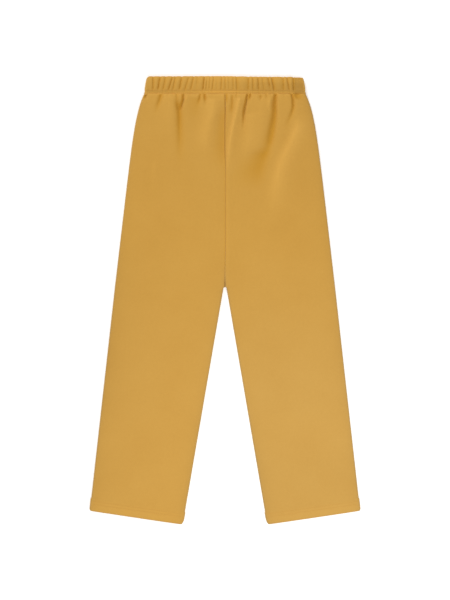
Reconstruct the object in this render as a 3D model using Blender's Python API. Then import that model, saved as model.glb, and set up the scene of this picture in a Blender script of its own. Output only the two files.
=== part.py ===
# Child's track pants in mustard fleece, laid flat on a table with the front up.
# Two fronts, two backs and one gathered elastic waistband, each a wall of cloth
# as it is cut and sewn, with the side seams and inseams at mid height.
# Metres. +X is the wearer's left, +Y runs up to the waist, +Z up from the table.
# "Depth" is the distance down from the top of the waistband.

import math
from collections import namedtuple

import bmesh
import bpy

# ---- Driving dimensions ----
LENGTH = 0.700  # top of the waistband to the lowest corner of the hem
BAND_DEPTH = 0.028  # the casing, over a 20 mm elastic and two rows of stitching
BAND_TOP_HALF = 0.1233  # half width of the waistband at its top
BAND_FOOT_HALF = 0.1265  # and where it meets the panels
HIP_DEPTH = 0.130
HIP_HALF_WIDTH = 0.1488
RISE = 0.3293  # top of the waistband to the crotch point
CROTCH_HALF_WIDTH = 0.1721  # at the crotch's depth
HEM_OUTER_DEPTH = 0.6790  # the hem's outer corner, higher than the inner one
HEM_OUTER_X = 0.2113  # side edge at the hem's outer corner
HEM_INNER_X = 0.0659  # inseam edge at the hem's inner corner

CLOTH = 0.0020  # brushed fleece, one ply
HEM_DEPTH = 0.0175  # the turned-up hem
HEM_PLIES = 0.0030  # its two plies, pressed by the stitching
SEAM_GAP = 0.0003  # between pieces that are sewn together

# ---- Shape of the laid cloth ----
EDGE_RADIUS = 0.0027  # a leg's side edge, rolled over the seam
WAIST_RISE = 0.0006  # the bulk of the gathers lifts the cloth by this
WAIST_REACH = 0.040
HEM_RISE = 0.0004  # and so do the plies of the hem
HEM_REACH = 0.025
HEM_SPREAD = 0.0007  # the stiffer hem stands out from the side edges
HEM_STEP = 0.0035  # distance in which the cloth thickens to the hem
HEM_LIP = 0.0011  # rounding of the fold at the hem
PANEL_PUFF = 0.0009  # how far a front rises between its edges
PUFF_REACH = 0.020  # distance from an edge in which it rises
WAIST_PULL = 0.0102  # the elastic draws the side edge in by this
PULL_FADE = 0.029  # and lets it out again over this depth
CROTCH_ROUND = 0.0021  # radius of the rounded top of the gap between the legs
CENTRE_TURN = math.radians(50)  # how far the centre seam's edges roll in
CENTRE_BLEND = 0.030  # above the crotch they roll on into the inseam
ROLL_STEPS = 4  # faces round a rolled edge

# ---- Waistband ----
BAND_WALL = 0.0034  # casing and elastic
STITCH_WALL = 0.0027  # casing where the stitching presses it
BAND_SLIT = 0.0008  # between the band's front and back, inside
BAND_CORNER = 0.0065  # rounded top corners
TOP_BOW = 0.0010  # the top edge is this much lower at the corners
GATHER_RELIEF = 0.0014  # crest to crease on the deepest gather
UNDER_GROOVE = 0.0008  # the same gathers on the side that it lies on
TURN_ANGLES = (72, 43, 14, -14, -43, -72)  # degrees, round an end of the band

CLOTH_COLOUR = (0.610, 0.342, 0.075, 1.0)
CLOTH_ROUGHNESS = 0.92

HALF_LENGTH = LENGTH / 2
HEM_TOP = LENGTH - HEM_DEPTH
BAND_RADIUS = BAND_WALL + BAND_SLIT / 2  # outer radius where the band turns round
BAND_MIDDLE = BAND_RADIUS - BAND_WALL / 2  # radius of the middle of its wall

# The rows of a panel, as depths along its inner edge, closest at the gathers,
# the crotch and the hem.
PANEL_ROWS = (
    [BAND_DEPTH + SEAM_GAP + step for step in (0, 0.003, 0.007, 0.013, 0.020, 0.029)]
    + [0.068, 0.080, 0.094, 0.110, 0.130, 0.155, 0.185, 0.220, 0.260]
    + [RISE + step for step in (-0.029, -0.014, -0.004, 0, 0.001, 0.0025, 0.010)]
    + [0.380, 0.440, 0.500, 0.560, 0.620, HEM_TOP - 0.025, HEM_TOP - HEM_STEP]
    + [HEM_TOP, LENGTH - HEM_LIP, LENGTH]
)

# The largest folds that fan out of the waistband on the fronts. "x" is from the
# centre seam at the fold's start and end, and a trough has a negative height.
Fold = namedtuple("Fold", "x_start x_end start end half_width height")
FRONT_FOLDS = (
    Fold(-0.115, -0.115, 0.026, 0.072, 0.0050, 0.0005),
    Fold(-0.102, -0.109, 0.024, 0.074, 0.0050, -0.0012),
    Fold(-0.091, -0.092, 0.030, 0.110, 0.0090, 0.0006),
    Fold(-0.075, -0.070, 0.024, 0.125, 0.0055, -0.0019),
    Fold(-0.065, -0.069, 0.020, 0.056, 0.0030, -0.0016),
    Fold(-0.041, -0.043, 0.022, 0.058, 0.0045, -0.0012),
    Fold(-0.024, -0.032, 0.030, 0.120, 0.0080, 0.0009),
    Fold(-0.010, -0.008, 0.040, 0.150, 0.0070, -0.0009),
    Fold(0.020, 0.006, 0.028, 0.135, 0.0060, 0.0010),
    Fold(0.034, 0.024, 0.022, 0.120, 0.0045, -0.0018),
    Fold(0.053, 0.046, 0.032, 0.140, 0.0110, 0.0008),
    Fold(0.080, 0.046, 0.022, 0.175, 0.0065, -0.0020),
    Fold(0.091, 0.090, 0.028, 0.070, 0.0060, 0.0006),
    Fold(0.106, 0.090, 0.022, 0.095, 0.0045, -0.0016),
    Fold(0.113, 0.050, 0.050, 0.240, 0.0085, 0.0010),
)

# The gathers of the waistband's front, as the creases between them: where each
# meets the top edge and the foot of the band, and its depth as a share of the
# relief. The back has the same ones the other way round.
Crease = namedtuple("Crease", "top foot share")
BAND_CREASES = (
    Crease(-0.1175, -0.1195, 0.0),
    Crease(-0.1130, -0.1140, 0.6),
    Crease(-0.1040, -0.1056, 1.0),
    Crease(-0.0946, -0.0982, 0.8),
    Crease(-0.0850, -0.0895, 0.9),
    Crease(-0.0780, -0.0822, 0.6),
    Crease(-0.0693, -0.0714, 0.9),
    Crease(-0.0590, -0.0632, 0.7),
    Crease(-0.0508, -0.0546, 0.7),
    Crease(-0.0440, -0.0456, 0.4),
    Crease(-0.0345, -0.0360, 1.0),
    Crease(-0.0280, -0.0294, 0.5),
    Crease(-0.0185, -0.0208, 0.7),
    Crease(-0.0110, -0.0120, 0.4),
    Crease(-0.0040, -0.0044, 0.6),
    Crease(0.0045, 0.0043, 0.6),
    Crease(0.0115, 0.0125, 0.6),
    Crease(0.0180, 0.0192, 0.8),
    Crease(0.0265, 0.0275, 0.4),
    Crease(0.0355, 0.0365, 0.8),
    Crease(0.0430, 0.0440, 0.6),
    Crease(0.0508, 0.0525, 0.9),
    Crease(0.0585, 0.0600, 0.5),
    Crease(0.0665, 0.0700, 0.6),
    Crease(0.0735, 0.0778, 1.0),
    Crease(0.0820, 0.0850, 0.4),
    Crease(0.0900, 0.0918, 0.7),
    Crease(0.0975, 0.1005, 1.0),
    Crease(0.1060, 0.1080, 0.8),
    Crease(0.1175, 0.1195, 0.0),
)

# The points of a gather between two creases, and how far each is sunk from its
# crest to the creases' depth. The underside's gathers are pressed flat.
Crest = namedtuple("Crest", "along sunk")
FRONT_CREST = (Crest(0.22, 0.28), Crest(0.5, 0.0), Crest(0.78, 0.28))
BACK_CREST = (Crest(0.5, 0.0),)

# A section through the casing, from its foot on the outside, over the fold at
# the top and down the plain inside. "out" is from the middle of the wall. A
# crease moves the point in by the share "inward" and down by the share "down".
Section = namedtuple("Section", "depth out inward down")
HALF_WALL = BAND_WALL / 2
HALF_STITCH = STITCH_WALL / 2
FOLD_SIDE = math.sqrt(0.5) * HALF_WALL
BAND_SECTION = (
    Section(BAND_DEPTH, HALF_STITCH, 0.25, 0.0),
    Section(0.0270, HALF_STITCH, 0.35, 0.0),
    Section(0.0247, HALF_WALL - 0.0002, 0.55, 0.0),
    Section(0.0224, HALF_STITCH, 0.45, 0.0),
    Section(0.0200, HALF_WALL, 0.9, 0.0),
    Section(0.0110, HALF_WALL, 1.0, 0.0),
    Section(HALF_WALL, HALF_WALL, 0.9, 0.0),
    Section(HALF_WALL - FOLD_SIDE, FOLD_SIDE, 0.6, 0.3),
    Section(0.0, 0.0, 0.0, 0.6),
    Section(HALF_WALL - FOLD_SIDE, -FOLD_SIDE, 0.0, 0.2),
    Section(HALF_WALL, -HALF_WALL, 0.0, 0.0),
    Section(0.0200, -HALF_WALL, 0.0, 0.0),
    Section(BAND_DEPTH, -HALF_STITCH, 0.0, 0.0),
)


def between(first, second, share):
    return first + (second - first) * share


def smooth(low, high, value):
    """0 below low and 1 above high, easing in between."""
    share = min(1.0, max(0.0, (value - low) / (high - low)))
    return share * share * (3 - 2 * share)


# ---- Outline ----
def on_hem(depth, foot):
    """0 on the plain leg and 1 on the hem, whose lower corner is at foot."""
    top = foot - HEM_DEPTH
    return smooth(top - HEM_STEP, top, depth)


def side_x(depth):
    """The side edge: straight from hip to crotch and from crotch to hem, and
    drawn in by the elastic at the waist."""
    if depth < RISE:
        share = (depth - HIP_DEPTH) / (RISE - HIP_DEPTH)
        straight = between(HIP_HALF_WIDTH, CROTCH_HALF_WIDTH, share)
    else:
        share = (depth - RISE) / (HEM_OUTER_DEPTH - RISE)
        straight = between(CROTCH_HALF_WIDTH, HEM_OUTER_X, share)
    pulled = WAIST_PULL * math.exp(-(depth - BAND_DEPTH) / PULL_FADE)
    return straight - pulled + HEM_SPREAD * on_hem(depth, HEM_OUTER_DEPTH)


def inner_x(depth):
    """The inner edge: the centre seam down to the crotch, then the inseam."""
    below = depth - RISE
    if below <= 0:
        return SEAM_GAP / 2
    slope = (HEM_INNER_X - CROTCH_ROUND) / (LENGTH - RISE)
    across = 1 - min(1.0, below / CROTCH_ROUND)
    arch = CROTCH_ROUND * math.sqrt(1 - across * across)
    return SEAM_GAP / 2 + arch + slope * below - HEM_SPREAD * on_hem(depth, LENGTH)


def side_depth(depth):
    """Where a row that starts at this depth on the inner edge ends on the side."""
    share = (depth - BAND_DEPTH) / (LENGTH - BAND_DEPTH)
    return between(BAND_DEPTH, HEM_OUTER_DEPTH, share)


def roll_radius(depth):
    """Half the height of a leg at its rolled edges."""
    at_waist = WAIST_RISE * math.exp(-(depth - BAND_DEPTH) / WAIST_REACH)
    at_hem = HEM_RISE * math.exp(min(0.0, depth - HEM_TOP) / HEM_REACH)
    return EDGE_RADIUS + at_waist + at_hem


def wall_thickness(depth):
    return between(CLOTH, HEM_PLIES, on_hem(depth, LENGTH))


def centre_turn(depth):
    """How far the inner edge has still to roll: all the way on the inseam."""
    return CENTRE_TURN * (1 - smooth(RISE - CENTRE_BLEND, RISE, depth))


# ---- Relief of the fronts ----
def fold_height(fold, x, depth):
    if not fold.start < depth < fold.end:
        return 0.0
    along = (depth - fold.start) / (fold.end - fold.start)
    away = (x - between(fold.x_start, fold.x_end, along)) / fold.half_width
    rise_and_fade = smooth(0, 0.2, along) * (1 - smooth(0.35, 1, along))
    return fold.height * rise_and_fade * math.exp(-away * away)


def front_relief(x, depth, from_inner, from_side):
    """Height of a front's face over its rolled edges, folds included."""
    legs_apart = smooth(RISE - 0.060, RISE + 0.015, depth)
    inner_rise = 1 - legs_apart * math.exp(-from_inner / PUFF_REACH)
    side_rise = 1 - math.exp(-from_side / PUFF_REACH)
    folds = sum(fold_height(fold, x, depth) for fold in FRONT_FOLDS)
    return PANEL_PUFF * inner_rise * side_rise + folds


# ---- Panels ----
# A station across a panel: its distance from the inner edge, the angle that the
# cloth has rolled to there (90 degrees on the face) and the way to the face.
Across = namedtuple("Across", "distance angle to_face")


def stations_across(width, radius, turn, columns):
    """From the inner edge, round its roll, over the face and round the side."""
    flat = math.pi / 2
    face_start = radius * math.cos(turn)
    face_end = width - radius
    stations = []
    for step in range(ROLL_STEPS):
        angle = between(turn, flat, step / ROLL_STEPS)
        distance = face_start - radius * math.cos(angle)
        stations.append(Across(distance, angle, 1))
    for column in range(columns + 1):
        distance = between(face_start, face_end, column / columns)
        stations.append(Across(distance, flat, 1))
    for step in range(ROLL_STEPS):
        angle = between(flat, 0, (step + 1) / ROLL_STEPS)
        distance = face_end + radius * math.cos(angle)
        stations.append(Across(distance, angle, -1))
    return stations


def panel_row(depth, side, front, columns):
    """One row of a panel as pairs of a point outside and the point inside it."""
    end_depth = side_depth(depth)
    start_x = inner_x(depth)
    end_x = side_x(end_depth)
    width = math.hypot(end_x - start_x, end_depth - depth)
    radius = roll_radius(depth)
    wall = wall_thickness(depth)
    lip = 0.25 * wall if depth == LENGTH else 0.0
    up = 1 if front else -1

    def point(distance, height):
        share = distance / width
        y = HALF_LENGTH - between(depth, end_depth, share)
        return side * between(start_x, end_x, share), y, radius + up * height

    pairs = []
    for distance, angle, to_face in stations_across(
        width, radius, centre_turn(depth), columns
    ):
        crown = radius
        if front:
            share = distance / width
            x = side * between(start_x, end_x, share)
            here = between(depth, end_depth, share)
            crown += front_relief(x, here, distance, width - distance)
        # the wall's edge keeps half the seam's gap from the other panel's
        seam = SEAM_GAP / 2 * max(0.0, 1 - angle / CENTRE_TURN)
        outside = (crown - lip) * math.sin(angle) + seam
        inside = (crown - wall + lip) * math.sin(angle) + seam
        inset = to_face * wall * math.cos(angle)
        pairs.append((point(distance, outside), point(distance + inset, inside)))
    return pairs


def make_panel(name, side, front, columns, cloth):
    """A wall of cloth: its outside, its inside and the rim that joins them."""
    rows = [panel_row(depth, side, front, columns) for depth in PANEL_ROWS]
    mesh = bmesh.new()
    outside = [[mesh.verts.new(pair[0]) for pair in row] for row in rows]
    inside = [[mesh.verts.new(pair[1]) for pair in row] for row in rows]
    add_sheet(mesh, outside)
    add_sheet(mesh, inside)
    add_strip(mesh, rim_of(outside), rim_of(inside))
    return finish(mesh, name, cloth)


def rim_of(grid):
    """The vertices round the edge of a grid, once round and closed."""
    right = [row[-1] for row in grid[1:-1]]
    left = [row[0] for row in reversed(grid[1:-1])]
    loop = grid[0] + right + list(reversed(grid[-1])) + left
    return loop + loop[:1]


def add_sheet(mesh, grid):
    for upper, lower in zip(grid, grid[1:]):
        add_strip(mesh, upper, lower)


def add_strip(mesh, upper, lower):
    for i in range(len(upper) - 1):
        mesh.faces.new((upper[i], upper[i + 1], lower[i + 1], lower[i]))


# ---- Waistband ----
# A station round the band: "end" is 0 on its front and back and -1 or 1 where
# it turns round at an end, "angle" is 90 degrees on the front and -90 on the
# back, and "groove" is the depth below the crests.
Station = namedtuple("Station", "end top foot angle groove")


def face_stations(creases, angle, relief, crests):
    """The gathers of the band's front or back, in the order of the creases."""
    stations = []
    for first, second in zip(creases, creases[1:]):
        stations.append(Station(0, first.top, first.foot, angle, relief * first.share))
        for crest in crests:
            top = between(first.top, second.top, crest.along)
            foot = between(first.foot, second.foot, crest.along)
            deeper = between(first.share, second.share, crest.along)
            groove = relief * deeper * crest.sunk
            stations.append(Station(0, top, foot, angle, groove))
    last = creases[-1]
    stations.append(Station(0, last.top, last.foot, angle, relief * last.share))
    return stations


def end_stations(end):
    """The turn at one end, from the front to the back."""
    return [Station(end, 0, 0, math.radians(angle), 0) for angle in TURN_ANGLES]


def band_stations():
    over, under = math.pi / 2, -math.pi / 2
    return (
        face_stations(BAND_CREASES, over, GATHER_RELIEF, FRONT_CREST)
        + end_stations(1)
        + face_stations(BAND_CREASES[::-1], under, UNDER_GROOVE, BACK_CREST)
        + end_stations(-1)[::-1]
    )


def band_top(x):
    """Depth of the top edge: a slight bow, and the rounded corners at its ends."""
    bow = TOP_BOW * (x / BAND_TOP_HALF) ** 2
    past = max(0.0, abs(x) - (BAND_TOP_HALF - BAND_CORNER)) / BAND_CORNER
    return bow + (BAND_CORNER - bow) * (1 - math.sqrt(max(0.0, 1 - past * past)))


def band_point(station, section):
    """Where a section's point lies at one station round the band."""
    share = section.depth / BAND_DEPTH
    radius = BAND_MIDDLE + section.out - station.groove * section.inward
    if station.end:
        half = between(BAND_TOP_HALF, BAND_FOOT_HALF, share)
        x = station.end * (half - BAND_RADIUS + radius * math.cos(station.angle))
    else:
        x = between(station.top, station.foot, share)
    depth = between(band_top(x), BAND_DEPTH, share) + station.groove * section.down
    z = BAND_RADIUS + radius * math.sin(station.angle)
    return x, HALF_LENGTH - depth, z


def make_waistband(name, cloth):
    mesh = bmesh.new()
    rings = [
        [mesh.verts.new(band_point(station, section)) for section in BAND_SECTION]
        for station in band_stations()
    ]
    for ring, following in zip(rings, rings[1:] + rings[:1]):
        add_strip(mesh, ring + ring[:1], following + following[:1])
    return finish(mesh, name, cloth)


# ---- Building ----
def finish(mesh, name, cloth):
    """Turns the faces outwards and puts the piece in the scene."""
    bmesh.ops.recalc_face_normals(mesh, faces=mesh.faces)
    data = bpy.data.meshes.new(name)
    mesh.to_mesh(data)
    mesh.free()
    data.materials.append(cloth)
    data.shade_smooth()
    data.set_sharp_from_angle(angle=math.radians(50))
    piece = bpy.data.objects.new(name, data)
    bpy.context.collection.objects.link(piece)
    return piece


def make_cloth(name, colour, roughness):
    cloth = bpy.data.materials.new(name)
    cloth.use_nodes = True
    shader = cloth.node_tree.nodes["Principled BSDF"]
    shader.inputs["Base Color"].default_value = colour
    shader.inputs["Roughness"].default_value = roughness
    shader.inputs["Metallic"].default_value = 0.0
    return cloth


def main():
    for piece in list(bpy.data.objects):
        bpy.data.objects.remove(piece)
    fleece = make_cloth("mustard_fleece", CLOTH_COLOUR, CLOTH_ROUGHNESS)
    casing = make_cloth("mustard_casing", CLOTH_COLOUR, CLOTH_ROUGHNESS)
    for word, side in (("left", 1), ("right", -1)):
        make_panel(f"front_{word}", side, True, 26, fleece)
        make_panel(f"back_{word}", side, False, 9, fleece)
    make_waistband("waistband", casing)


main()
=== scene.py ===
import math

import bmesh
import bpy
import numpy as np
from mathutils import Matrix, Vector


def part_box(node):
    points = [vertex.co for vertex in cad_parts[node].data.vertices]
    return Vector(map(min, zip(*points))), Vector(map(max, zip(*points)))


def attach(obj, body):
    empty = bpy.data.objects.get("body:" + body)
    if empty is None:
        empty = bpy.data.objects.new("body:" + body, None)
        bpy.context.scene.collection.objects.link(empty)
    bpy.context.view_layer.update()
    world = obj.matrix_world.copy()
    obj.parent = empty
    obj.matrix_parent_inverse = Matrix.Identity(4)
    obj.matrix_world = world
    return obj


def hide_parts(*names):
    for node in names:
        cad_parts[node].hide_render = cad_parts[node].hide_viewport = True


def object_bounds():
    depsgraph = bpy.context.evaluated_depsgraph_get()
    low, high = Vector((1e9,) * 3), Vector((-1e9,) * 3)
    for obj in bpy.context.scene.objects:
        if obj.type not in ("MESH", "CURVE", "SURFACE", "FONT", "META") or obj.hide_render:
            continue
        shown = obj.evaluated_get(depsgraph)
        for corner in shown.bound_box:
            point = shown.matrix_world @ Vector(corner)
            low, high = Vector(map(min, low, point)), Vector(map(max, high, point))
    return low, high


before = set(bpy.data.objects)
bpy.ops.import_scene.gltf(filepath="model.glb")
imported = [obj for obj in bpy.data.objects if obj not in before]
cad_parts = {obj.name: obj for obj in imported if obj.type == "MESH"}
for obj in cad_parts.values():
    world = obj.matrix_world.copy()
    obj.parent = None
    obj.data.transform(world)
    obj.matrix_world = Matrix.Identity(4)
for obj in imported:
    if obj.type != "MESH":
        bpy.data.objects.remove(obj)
cadLow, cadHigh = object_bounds()
print("frame loaded:", ", ".join(sorted(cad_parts)))

mm = 0.001
seamRaise = 0.8  # mm that the sewing draws the waistband's seam up
bandLow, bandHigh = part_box("waistband")

pants = {  # mm; the laid outline, and depth runs down from the top of the waistband
    "length": (cadHigh.y - cadLow.y) / mm,
    "bandDepth": (bandHigh.y - bandLow.y) / mm - seamRaise,
    "bandTopHalf": 123.4,
    "bandFootHalf": 127.3,
    "hipDepth": 130.0,
    "hipHalf": 148.8,
    "rise": 329.3,
    "crotchHalf": 172.1,
    "hemOuterDepth": 679.0,
    "hemOuterX": 211.3,
    "hemInnerX": 65.9,
    "hemDepth": 17.5,
    "hemStep": 2.2,  # in which the cloth thickens to the hem
    "hemSpread": 0.9,  # the stiffer hem stands out from the edges
    "sideHemRaise": 1.2,  # and starts this much higher at the sides
    "waistPull": 10.8,  # the elastic draws the side edges in
    "pullFade": 29.0,  # and lets them out again over this depth
    "crotchRound": 2.1,
    "cloth": 1.9,  # one ply
    "hemPlies": 3.0,  # the turned-up hem's two, pressed
    "plyStep": 0.6,  # in which the one thickens to the other
    "roll": 2.7,  # radius of a rolled side edge
    "waistRise": 1.1,  # the bulk of the gathers lifts the cloth
    "waistReach": 40.0,
    "hemRise": 0.4,  # and so do the plies of the hem
    "hemReach": 25.0,
    "seamGap": 0.06,
    "centreTurns": (44.0, 66.0),  # degrees: the centre seam's edges roll from here to 90, above and below
    "turnRange": (105.0, 165.0),  # depths in which the one becomes the other
    "topTurn": 9.0,  # and from this much more right under the band
    "topTurnRange": (30.0, 60.0),
    "centreBlend": 20.0,  # above the crotch they roll on into the inseams
    "apartRange": (-60.0, 15.0),  # from the crotch: the fronts sink toward the gap between the legs
    "seamWander": (0.5, 1.0),  # the centre seam lies to the wearer's left, at the waist and below
    "wanderWaist": (50.0, 75.0),
    "wanderStart": (115.0, 145.0),
    "wanderEnd": (-70.0, -20.0),  # from the crotch
    "wanderReach": 45.0,
    "fullHip": 0.3,  # the wearer's right hip stands out a little under the band
    "fullHipPlace": (37.0, 10.0),
    "innerCorner": (10.0, 3.6),  # how tall and wide the hem's corners are rounded
    "outerCorner": (4.5, 2.4),
}


def ease(low, high, value):
    share = np.clip((value - low) / (high - low), 0.0, 1.0)
    return share * share * (3 - 2 * share)


def mix(first, second, share):
    return first + (second - first) * share


def hump(value, middle, halfWidth):
    return np.exp(-(((value - middle) / halfWidth) ** 2))


def rightLeft(pair, x):  # one value on the wearer's right and one on the left
    return np.where(x < 0, *pair)


def fromCrotch(places, depth):  # eases from 0 to 1 between two places that are counted from the crotch
    start, end = places
    return ease(pants["rise"] + start, pants["rise"] + end, depth)


def legsApart(depth):
    return fromCrotch(pants["apartRange"], depth)


def onHem(depth, foot):
    top = foot - pants["hemDepth"]
    return ease(top - pants["hemStep"], top, depth)


def sideX(depth):  # the side edge, straight in two stretches and drawn in at the waist
    above = (depth - pants["hipDepth"]) / (pants["rise"] - pants["hipDepth"])
    below = (depth - pants["rise"]) / (pants["hemOuterDepth"] - pants["rise"])
    hip = mix(pants["hipHalf"], pants["crotchHalf"], above)
    leg = mix(pants["crotchHalf"], pants["hemOuterX"], below)
    pulled = pants["waistPull"] * np.exp(-(depth - pants["bandDepth"]) / pants["pullFade"])
    spread = pants["hemSpread"] * onHem(depth, pants["hemOuterDepth"] - pants["sideHemRaise"])
    return np.where(depth < pants["rise"], hip, leg) - pulled + spread


def innerX(depth):  # the centre seam, then the rounded crotch and the inseam
    below = np.maximum(0.0, depth - pants["rise"])
    slope = (pants["hemInnerX"] - pants["crotchRound"]) / (pants["length"] - pants["rise"])
    across = 1 - np.minimum(1.0, below / pants["crotchRound"])
    arch = pants["crotchRound"] * np.sqrt(1 - across * across)
    spread = pants["hemSpread"] * onHem(depth, pants["length"])
    return pants["seamGap"] / 2 + arch + slope * below - spread


def sideDepth(depth):  # where a row that starts at this depth inside ends at the side
    share = (depth - pants["bandDepth"]) / (pants["length"] - pants["bandDepth"])
    return mix(pants["bandDepth"], pants["hemOuterDepth"], share)


def cornerInset(toFoot, corner):
    tall, wide = corner
    rest = 1 - np.clip(toFoot / tall, 0.0, 1.0)
    return wide * (1 - np.sqrt(np.maximum(0.0, 1 - rest * rest)))


def seamWander(depth):  # how far the centre seam lies to the wearer's left
    atWaist, below = pants["seamWander"]
    low = ease(*pants["wanderStart"], depth) * (1 - fromCrotch(pants["wanderEnd"], depth))
    return atWaist * (1 - ease(*pants["wanderWaist"], depth)) + below * low


def centreTurn(depth):  # where round its roll a panel's inner edge starts
    turn = mix(*pants["centreTurns"], ease(*pants["turnRange"], depth))
    turn = turn + pants["topTurn"] * (1 - ease(*pants["topTurnRange"], depth))
    return np.radians(turn) * (1 - fromCrotch((-pants["centreBlend"], 0.0), depth))


def wallThickness(depth):
    step = ease(-pants["plyStep"], 0.0, depth - pants["length"] + pants["hemDepth"])
    return mix(pants["cloth"], pants["hemPlies"], step)


def rollRadius(depth):
    waist = pants["waistRise"] * np.exp(-(depth - pants["bandDepth"]) / pants["waistReach"])
    hemTop = pants["length"] - pants["hemDepth"]
    hem = pants["hemRise"] * np.exp(np.minimum(0.0, depth - hemTop) / pants["hemReach"])
    return pants["roll"] + waist + hem


band = {  # mm
    "wall": 3.4,
    "slit": 0.8,  # between the front and the back, inside
    "corner": 6.5,
    "topBow": (0.4, 0.6),  # at the wearer's right and left
    "topSlope": 0.8,  # the top edge lies lower at the wearer's left
    "slopeRange": (-10.0, 60.0),
    "relief": 2.8,  # from crest to crease on the deepest gather
    "crestRise": 0.6,  # how much of it stands above the band's own thickness
    "footThin": 0.9,  # the elastic ends above the seam, so the casing is thinner there
    "footFull": 0.35,  # and fuller again where the seam turns under
    "footPleats": 0.6,  # how far the band's foot sinks into the pleats that start at it
    "pleatPlace": 0.5,  # just below the seam, and just below the upper row of stitching
    "endDrop": 2.8,  # the end at the wearer's left is pulled down
    "endRun": (105.0, 112.0),
    "rimShade": 2.8,  # painted shade at both ends
    "gatherShade": 1.45,  # how much painted shade the depth of a gather gets
    "underRelief": 0.8,  # the gathers of the side that it lies on
    "creaseFade": (0.25, 0.05),  # shares of the band's depth in which a crease comes and goes
    "creaseRest": 0.3,  # how much of it stays past its end
    "pillow": 0.68,  # the cloth between two creases, flatter where this is smaller
    "rows": (22.5, 26.0),  # depths of the two rows of stitching
    "channels": (0.42, 0.07),  # how deep the stitching sinks
    "channelHalf": 0.8,
    "pressed": 0.62,  # share of the creases that the stitching presses out
    "pressedHalf": 2.2,
    "pastStitching": 0.45,  # how much of the creases runs on below the upper row
    "pastRange": (21.0, 24.0),
    "thinRange": (12.0, 23.5),  # depths in which the casing thins
    "fullStart": 25.8,
    "topTurns": (-67, -45, -22, 0, 22, 45, 67),  # degrees over the top fold
    "topCrease": 0.75,  # share of a crease that shows on the top fold
    "topCreaseTurns": (-0.8, 1.2),  # radians
    "topNotch": 0.35,  # and how much of it cuts into the top edge
    "topReach": 6.0,
    "footCrease": 0.4,
    "footTurn": ((0.15, 0.03), (0.0, 0.12)),  # above the foot and into the wall, at the seam
    "insideTurn": ((0.0, 0.3), (8.0, 0.0), (16.0, 0.0)),  # the same on the wall's inside
    "faceRows": 42,
    "faceEnd": 0.5,  # above the foot
    "frontStep": 0.5,  # spacing of the mesh round the band
    "backStep": 0.9,
    "endTurns": (80, 17),  # degrees round an end each way, and the number of stations
    "mapColumn": 20,  # the cloth's map is measured along this column
}
bandPaintedShading = {  # painted light and shade on the band, as for the panels: "all" is everywhere, and "more" is round or toward an x
    "whole": {"all": 0.6},
    "top": {"all": 1.0, "more": 1.1, "round": (5, 45), "ends": (2, 11)},
    "low": {"all": -0.5, "more": -1.2, "toward": (-20, 70), "starts": (6, 13), "ends": (21.5, 24)},
    "stitched": {"all": -2.3, "more": 3.3, "round": (-6, 55), "starts": (21.2, 23.6), "ends": (24.8, 26.4)},
    "foot": {"all": 2.1, "more": 1.2, "round": (0, 60), "starts": (25.0, 26.2)},
    "ridge": {"more": 1.6, "round": (20, 65), "line": (24.7, 1.0)},
    "lowerRow": {"more": -2.1, "round": (20, 34), "line": (26.0, 0.8)},
    "middle": {"more": 0.7, "round": (-17, 18)},
    "leftEnd": {"more": -2.6, "toward": (105, 112)},
}
creaseColumns = ("top", "foot", "deep", "start", "end")
creaseRows = (  # x at the top edge and at the upper stitching, depth share, and where it runs
    (-119.0, -120.5, 0.00, 0.00, 1.00),
    (-112.3, -112.3, 0.75, 0.05, 0.95),
    (-101.0, -104.9, 1.00, 0.10, 0.85),
    (-92.3, -96.9, 0.65, 0.00, 1.00),
    (-81.2, -88.5, 0.90, 0.00, 0.95),
    (-77.2, -81.7, 0.60, 0.00, 0.95),
    (-67.4, -71.2, 0.90, 0.00, 0.85),
    (-55.9, -63.0, 0.65, 0.15, 1.00),
    (-48.6, -53.8, 0.70, 0.00, 0.95),
    (-42.3, -45.5, 0.35, 0.00, 0.45),
    (-31.8, -34.3, 1.00, 0.10, 1.00),
    (-27.5, -29.8, 0.50, 0.35, 1.00),
    (-23.1, -24.9, 0.40, 0.00, 0.80),
    (-17.4, -20.2, 0.60, 0.05, 0.95),
    (-12.5, -12.5, 0.20, 0.30, 0.90),
    (-4.8, -6.4, 0.60, 0.00, 0.90),
    (0.5, 0.6, 0.50, 0.00, 1.00),
    (5.9, 5.9, 0.35, 0.00, 0.95),
    (12.6, 13.0, 0.50, 0.10, 0.95),
    (17.5, 18.5, 0.65, 0.00, 1.00),
    (37.0, 36.6, 0.75, 0.00, 1.00),
    (43.3, 44.0, 0.65, 0.10, 0.90),
    (51.7, 52.6, 0.80, 0.00, 0.95),
    (58.2, 61.0, 0.40, 0.15, 1.00),
    (66.8, 71.5, 0.85, 0.00, 0.60),
    (72.6, 76.5, 0.95, 0.10, 0.95),
    (91.0, 92.0, 0.70, 0.00, 0.90),
    (96.6, 100.7, 0.80, 0.00, 1.00),
    (106.5, 106.8, 1.00, 0.00, 1.00),
    (118.8, 120.2, 0.00, 0.00, 1.00),
)
creases = [dict(zip(creaseColumns, row)) for row in creaseRows]


def creaseDepth(crease, share):
    away, into = band["creaseFade"]
    comes = ease(crease["start"] - away, crease["start"] + into, share)
    goes = ease(crease["end"] - into, crease["end"] + away, share)
    return crease["deep"] * comes * mix(1.0, band["creaseRest"], goes)


def bandGroove(x, share):  # how far below the crests the gathers lie, 0 to 1
    groove = np.zeros(np.broadcast(x, share).shape)
    for first, second in zip(creases, creases[1:]):
        left = mix(first["top"], first["foot"], share)
        right = mix(second["top"], second["foot"], share)
        along = (x - left) / (right - left)
        inside = (along >= 0) & (along < 1)
        along = np.clip(along, 0.0, 1.0)
        deep = mix(creaseDepth(first, share), creaseDepth(second, share), along)
        pillow = (4 * along * (1 - along)) ** band["pillow"]
        groove = np.where(inside, deep * (1 - pillow), groove)
    return groove


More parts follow.
